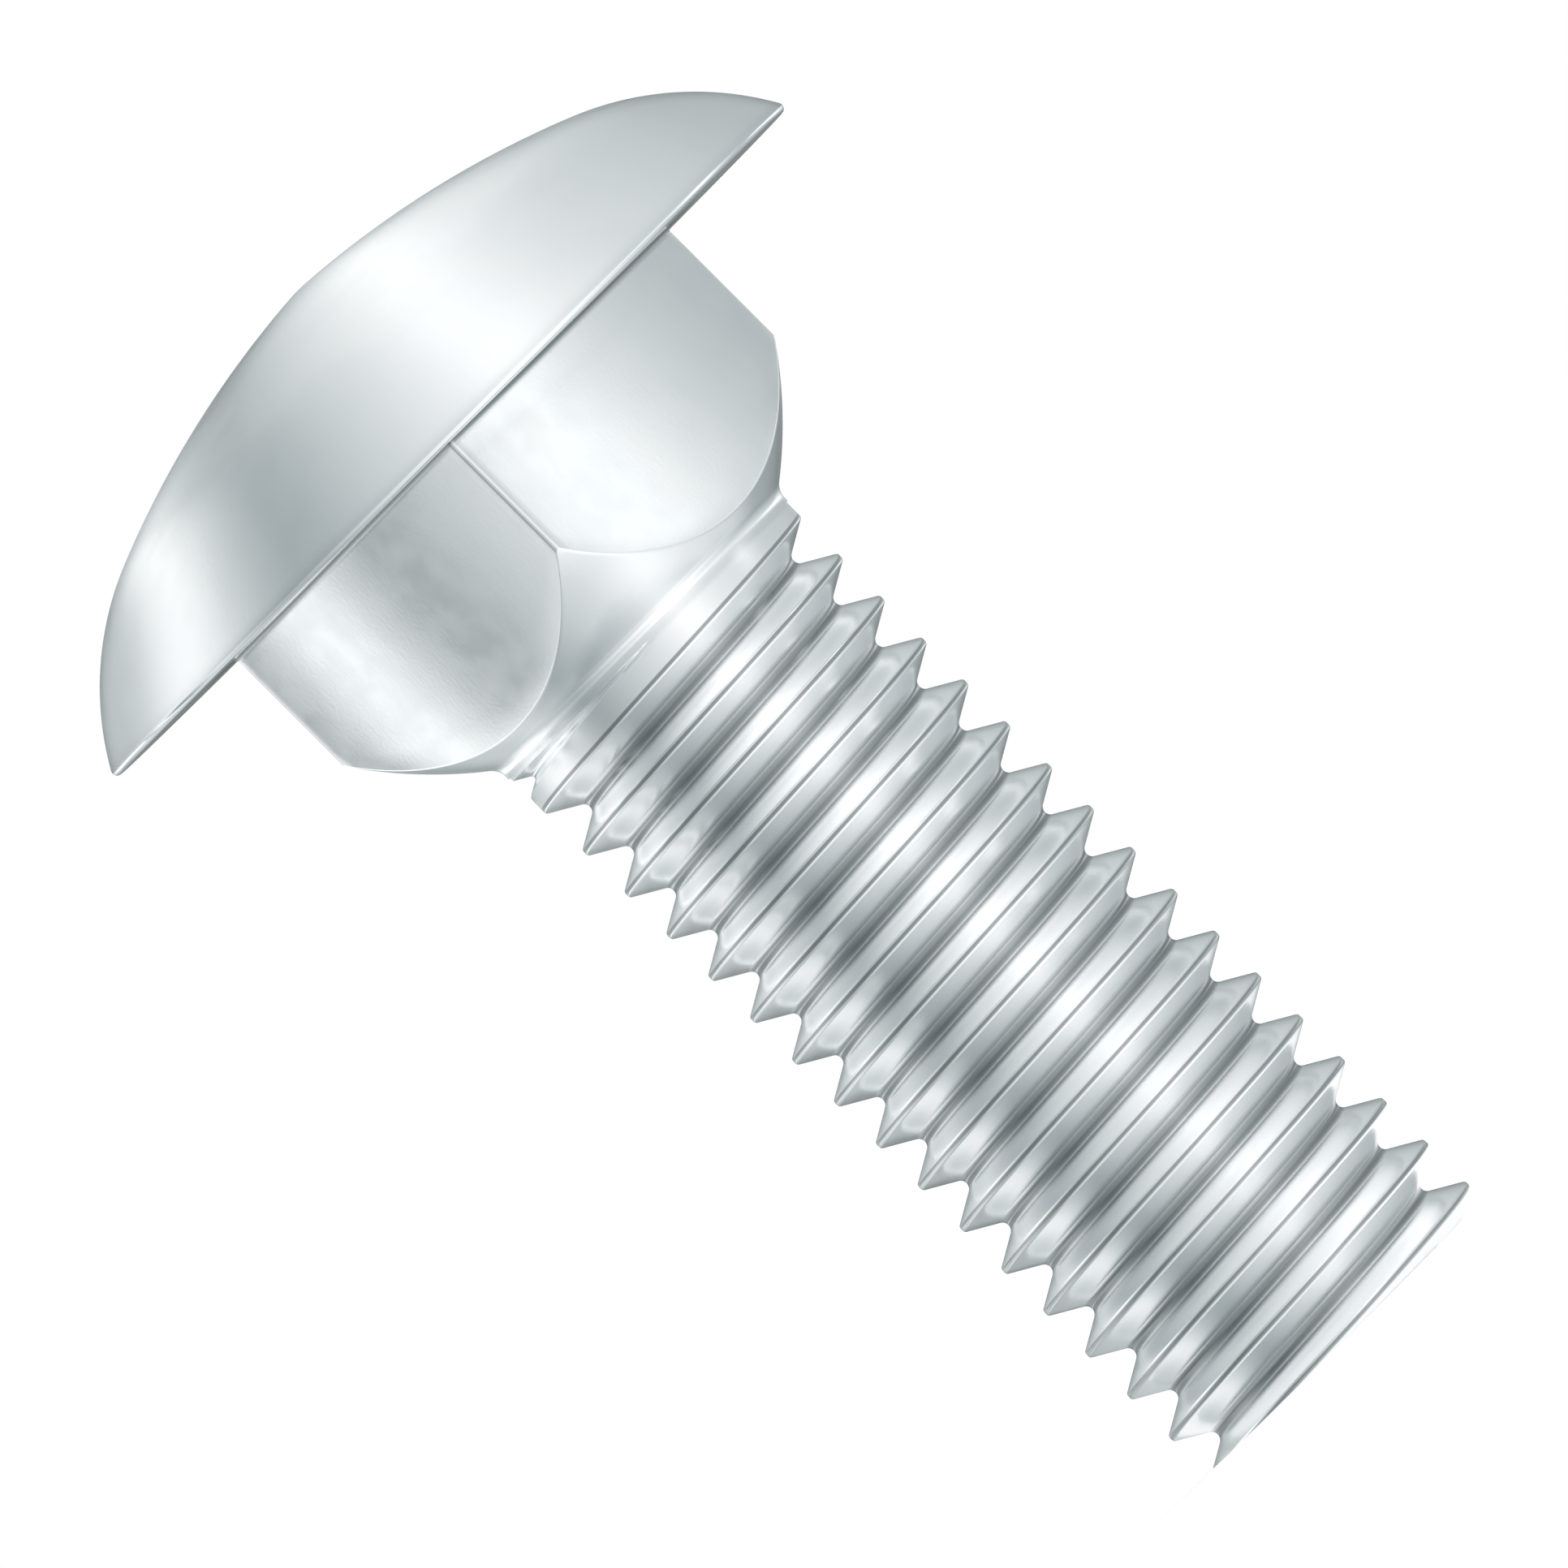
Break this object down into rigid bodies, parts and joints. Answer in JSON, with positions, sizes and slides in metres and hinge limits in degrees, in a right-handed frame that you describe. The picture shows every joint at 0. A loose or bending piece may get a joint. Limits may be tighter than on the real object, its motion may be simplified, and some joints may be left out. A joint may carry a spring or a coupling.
{
  "type": "carriage bolt",
  "caption": "Carriage bolt with a low domed head, a square neck with a rounded end, and a right-hand thread cut off square.",
  "frame": {"origin": "the middle of the head's flat underside, on the bolt's axis", "axes": "+Z runs along the bolt's axis from the thread to the top of the head; +X and +Y are square to the flats of the neck"},
  "size_m": [0.024, 0.024, 0.0375],
  "materials": {
    "zinc_plated_steel": "bright zinc plate over cold-headed steel, smooth and semi-bright"
  },
  "bodies": {
    "root": {"bolt": "zinc_plated_steel"}
  },
  "joints": []
}
